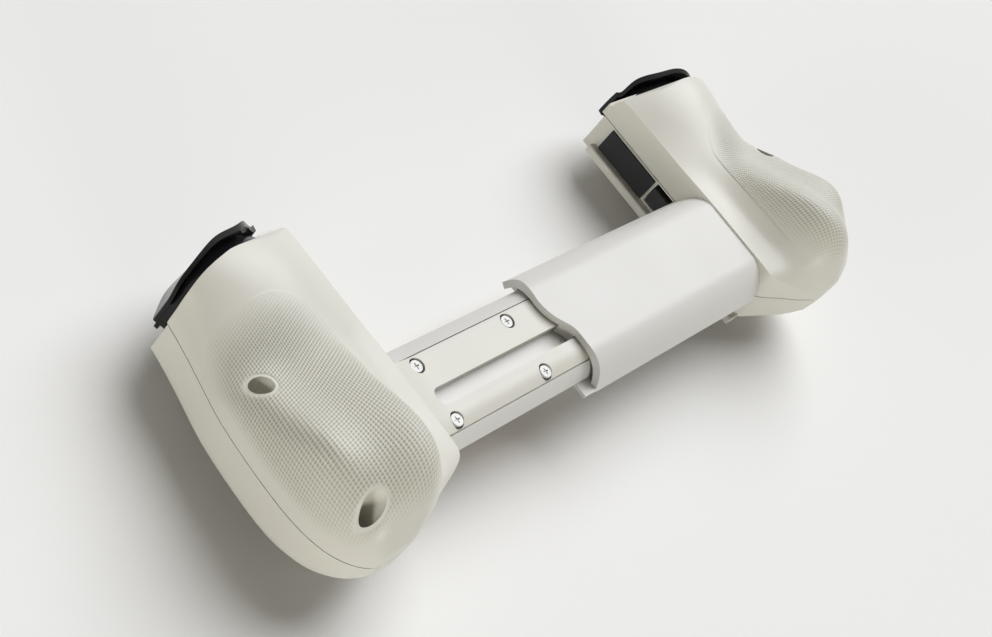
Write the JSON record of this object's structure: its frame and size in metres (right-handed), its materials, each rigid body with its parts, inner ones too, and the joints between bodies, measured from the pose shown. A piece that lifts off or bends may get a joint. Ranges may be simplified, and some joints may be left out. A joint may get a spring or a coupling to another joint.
{
  "type": "telescopic phone game controller",
  "caption": "Palm grips joined by a sprung telescopic bridge that clamps a phone between them, with sticks, D-pad, face buttons, bumpers, triggers and a charging plug.",
  "frame": {"origin": "midway between the grips on the slot's centre line, level with the front of the stick caps", "axes": "+X towards the grip with the sleeve (left hand), +Y towards the triggers, +Z out of the back"},
  "size_m": [0.2506, 0.09, 0.0483],
  "materials": {
    "cream_plastic": "satin cream moulding with a fine diamond texture on the palms",
    "black_gloss": "polished black",
    "black_matte": "matt black",
    "black_rubber": "soft matt black",
    "white_silicone": "translucent white",
    "steel": "zinc plated",
    "green_board": "solder mask",
    "amber_film": "polyimide film",
    "grey_caps": "matt dark grey"
  },
  "bodies": {
    "left_unit": {"left_rear_shell": "cream_plastic", "left_front_shell": "cream_plastic", "bridge_sleeve": "cream_plastic", "bridge_floor": "cream_plastic", "left_shell_screws": "steel", "left_circuit_board": "green_board", "left_stick_module": "black_matte", "left_trigger_pin": "steel", "left_trigger_spring": "steel", "left_phone_pad": "black_rubber", "dpad_post": "steel", "dpad_membrane": "white_silicone"},
    "right_unit": {"right_rear_shell": "cream_plastic", "right_front_shell": "cream_plastic", "rail_tray": "cream_plastic", "rail_screws": "steel", "right_shell_screws": "steel", "right_circuit_board": "green_board", "right_stick_module": "black_matte", "right_trigger_pin": "steel", "right_trigger_spring": "steel", "right_phone_pad": "black_rubber", "face_membrane": "white_silicone", "bridge_spring": "steel", "bridge_ribbon": "amber_film"},
    "left_stick_carrier": {"left_stick_carrier": "black_matte"},
    "left_stick_yoke": {"left_stick_yoke": "black_matte"},
    "left_stick": {"left_stick_shaft": "black_matte", "left_stick_cap": "black_rubber"},
    "left_trigger": {"left_trigger": "black_gloss"},
    "left_bumper": {"left_bumper": "black_gloss"},
    "left_upper_button": {"left_upper_button": "grey_caps"},
    "left_lower_button": {"left_lower_button": "grey_caps"},
    "right_stick_carrier": {"right_stick_carrier": "black_matte"},
    "right_stick_yoke": {"right_stick_yoke": "black_matte"},
    "right_stick": {"right_stick_shaft": "black_matte", "right_stick_cap": "black_rubber"},
    "right_trigger": {"right_trigger": "black_gloss"},
    "right_bumper": {"right_bumper": "black_gloss"},
    "right_upper_button": {"right_upper_button": "grey_caps"},
    "right_lower_button": {"right_lower_button": "grey_caps"},
    "dpad_pivot": {"dpad_pivot": "black_matte"},
    "dpad": {"dpad": "grey_caps"},
    "face_button_inner": {"face_button_inner": "grey_caps"},
    "face_button_outer": {"face_button_outer": "grey_caps"},
    "face_button_upper": {"face_button_upper": "grey_caps"},
    "face_button_lower": {"face_button_lower": "grey_caps"},
    "plug_carrier": {"plug_carrier": "black_matte", "usb_plug": "steel"}
  },
  "joints": [
    {"name": "bridge_slide", "type": "slide", "parent": "left_unit", "child": "right_unit", "axis": [-1, 0, 0], "range_m": [-0.045, 0.0298], "deforming": ["bridge_spring", "bridge_ribbon"]},
    {"name": "left_stick_click", "type": "slide", "parent": "left_unit", "child": "left_stick_carrier", "axis": [0, 0, 1], "range_m": [0, 0.0005], "stiffness_N_per_m": 6000},
    {"name": "left_stick_y_tilt", "type": "hinge", "parent": "left_stick_carrier", "child": "left_stick_yoke", "pos_m": [0.0986, 0.014, 0.0156], "axis": [1, 0, 0], "range_deg": [-16, 16], "stiffness_Nm_per_rad": 0.05},
    {"name": "left_stick_x_tilt", "type": "hinge", "parent": "left_stick_yoke", "child": "left_stick", "pos_m": [0.0986, 0.014, 0.0156], "axis": [0, 1, 0], "range_deg": [-16, 16], "stiffness_Nm_per_rad": 0.05},
    {"name": "left_trigger_pull", "type": "hinge", "parent": "left_unit", "child": "left_trigger", "pos_m": [0.09845, 0.02921, 0.0198], "axis": [0.9636, -0.2672, 0], "range_deg": [0, 9], "stiffness_Nm_per_rad": 0.6},
    {"name": "left_bumper_press", "type": "hinge", "parent": "left_unit", "child": "left_bumper", "pos_m": [0.08619, 0.03365, 0.0135], "axis": [0, 0, -1], "range_deg": [0, 3], "stiffness_Nm_per_rad": 2},
    {"name": "left_upper_button_press", "type": "slide", "parent": "left_unit", "child": "left_upper_button", "axis": [0, 0, 1], "range_m": [0, 0.0006], "stiffness_N_per_m": 900},
    {"name": "left_lower_button_press", "type": "slide", "parent": "left_unit", "child": "left_lower_button", "axis": [0, 0, 1], "range_m": [0, 0.0006], "stiffness_N_per_m": 900},
    {"name": "right_stick_click", "type": "slide", "parent": "right_unit", "child": "right_stick_carrier", "axis": [0, 0, 1], "range_m": [0, 0.0005], "stiffness_N_per_m": 6000},
    {"name": "right_stick_y_tilt", "type": "hinge", "parent": "right_stick_carrier", "child": "right_stick_yoke", "pos_m": [-0.0976, -0.018, 0.0156], "axis": [1, 0, 0], "range_deg": [-16, 16], "stiffness_Nm_per_rad": 0.05},
    {"name": "right_stick_x_tilt", "type": "hinge", "parent": "right_stick_yoke", "child": "right_stick", "pos_m": [-0.0976, -0.018, 0.0156], "axis": [0, 1, 0], "range_deg": [-16, 16], "stiffness_Nm_per_rad": 0.05},
    {"name": "right_trigger_pull", "type": "hinge", "parent": "right_unit", "child": "right_trigger", "pos_m": [-0.09845, 0.02921, 0.0198], "axis": [0.9636, 0.2672, 0], "range_deg": [0, 9], "stiffness_Nm_per_rad": 0.6},
    {"name": "right_bumper_press", "type": "hinge", "parent": "right_unit", "child": "right_bumper", "pos_m": [-0.08619, 0.03365, 0.0135], "axis": [0, 0, 1], "range_deg": [0, 3], "stiffness_Nm_per_rad": 2},
    {"name": "right_upper_button_press", "type": "slide", "parent": "right_unit", "child": "right_upper_button", "axis": [0, 0, 1], "range_m": [0, 0.0006], "stiffness_N_per_m": 900},
    {"name": "right_lower_button_press", "type": "slide", "parent": "right_unit", "child": "right_lower_button", "axis": [0, 0, 1], "range_m": [0, 0.0006], "stiffness_N_per_m": 900},
    {"name": "dpad_y_tilt", "type": "hinge", "parent": "left_unit", "child": "dpad_pivot", "pos_m": [0.0976, -0.015, 0.01], "axis": [1, 0, 0], "range_deg": [-5, 5], "stiffness_Nm_per_rad": 0.2},
    {"name": "dpad_x_tilt", "type": "hinge", "parent": "dpad_pivot", "child": "dpad", "pos_m": [0.0976, -0.015, 0.01], "axis": [0, 1, 0], "range_deg": [-5, 5], "stiffness_Nm_per_rad": 0.2},
    {"name": "face_button_inner_press", "type": "slide", "parent": "right_unit", "child": "face_button_inner", "axis": [0, 0, 1], "range_m": [0, 0.0012], "stiffness_N_per_m": 500},
    {"name": "face_button_outer_press", "type": "slide", "parent": "right_unit", "child": "face_button_outer", "axis": [0, 0, 1], "range_m": [0, 0.0012], "stiffness_N_per_m": 500},
    {"name": "face_button_upper_press", "type": "slide", "parent": "right_unit", "child": "face_button_upper", "axis": [0, 0, 1], "range_m": [0, 0.0012], "stiffness_N_per_m": 500},
    {"name": "face_button_lower_press", "type": "slide", "parent": "right_unit", "child": "face_button_lower", "axis": [0, 0, 1], "range_m": [0, 0.0012], "stiffness_N_per_m": 500},
    {"name": "plug_swing", "type": "hinge", "parent": "left_unit", "child": "plug_carrier", "pos_m": [0.0818, 0, 0.0169], "axis": [0, -1, 0], "range_deg": [0, 10]}
  ]
}
